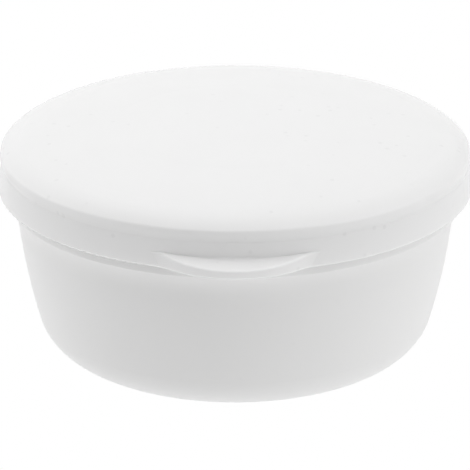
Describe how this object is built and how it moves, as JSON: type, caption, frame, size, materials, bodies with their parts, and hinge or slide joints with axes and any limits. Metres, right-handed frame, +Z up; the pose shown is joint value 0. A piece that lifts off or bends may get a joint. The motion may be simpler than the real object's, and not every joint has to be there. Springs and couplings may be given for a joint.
{
  "type": "covered soap dish",
  "caption": "Round covered soap dish: a deep moulded bowl, a push-on lid with an overhanging band and a crescent thumb tab, and a slotted drainer that stands inside.",
  "frame": {"origin": "centre of the foot, on the surface that the dish stands on", "axes": "+Z up along the bowl's axis, -Y out through the thumb tab, +X to the right when looking at the tab"},
  "size_m": [0.11, 0.1145, 0.0535],
  "materials": {
    "bowl_plastic": "satin",
    "lid_plastic": "satin",
    "drainer_plastic": "satin"
  },
  "bodies": {
    "dish": {"bowl": "bowl_plastic", "drain_insert": "drainer_plastic"},
    "lid": {"lid": "lid_plastic"}
  },
  "joints": [
    {"name": "lid_lift", "type": "slide", "parent": "dish", "child": "lid", "axis": [0, 0, 1], "range_m": [0, 0.06]}
  ]
}
